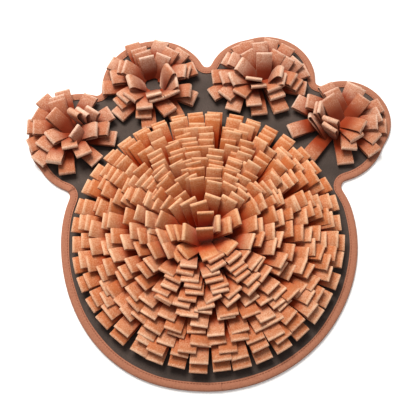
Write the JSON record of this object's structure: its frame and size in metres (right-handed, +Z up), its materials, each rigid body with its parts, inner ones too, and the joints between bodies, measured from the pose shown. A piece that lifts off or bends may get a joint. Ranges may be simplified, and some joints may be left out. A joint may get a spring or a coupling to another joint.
{
  "type": "snuffle mat",
  "caption": "Paw-shaped pet snuffle mat: a bound cloth base, a round pad of looped felt strips sewn in rings, and a looped tuft on each toe.",
  "frame": {"origin": "on the underside of the base cloth, where the mat rests, under the middle of the round pad", "axes": "+Z up, +Y from the pad towards the toes, +X to the right when the toes point away"},
  "size_m": [0.4977, 0.4988, 0.0532],
  "materials": {
    "base_cloth": "matt charcoal felted cloth",
    "edge_binding": "matt terracotta woven binding, topstitched",
    "felt_loops": "matt terracotta pressed felt"
  },
  "bodies": {
    "root": {"base_cloth": "base_cloth", "edge_binding": "edge_binding", "loop_pad": "felt_loops", "toe_tuft_outer_left": "felt_loops", "toe_tuft_inner_left": "felt_loops", "toe_tuft_inner_right": "felt_loops", "toe_tuft_outer_right": "felt_loops"}
  },
  "joints": []
}
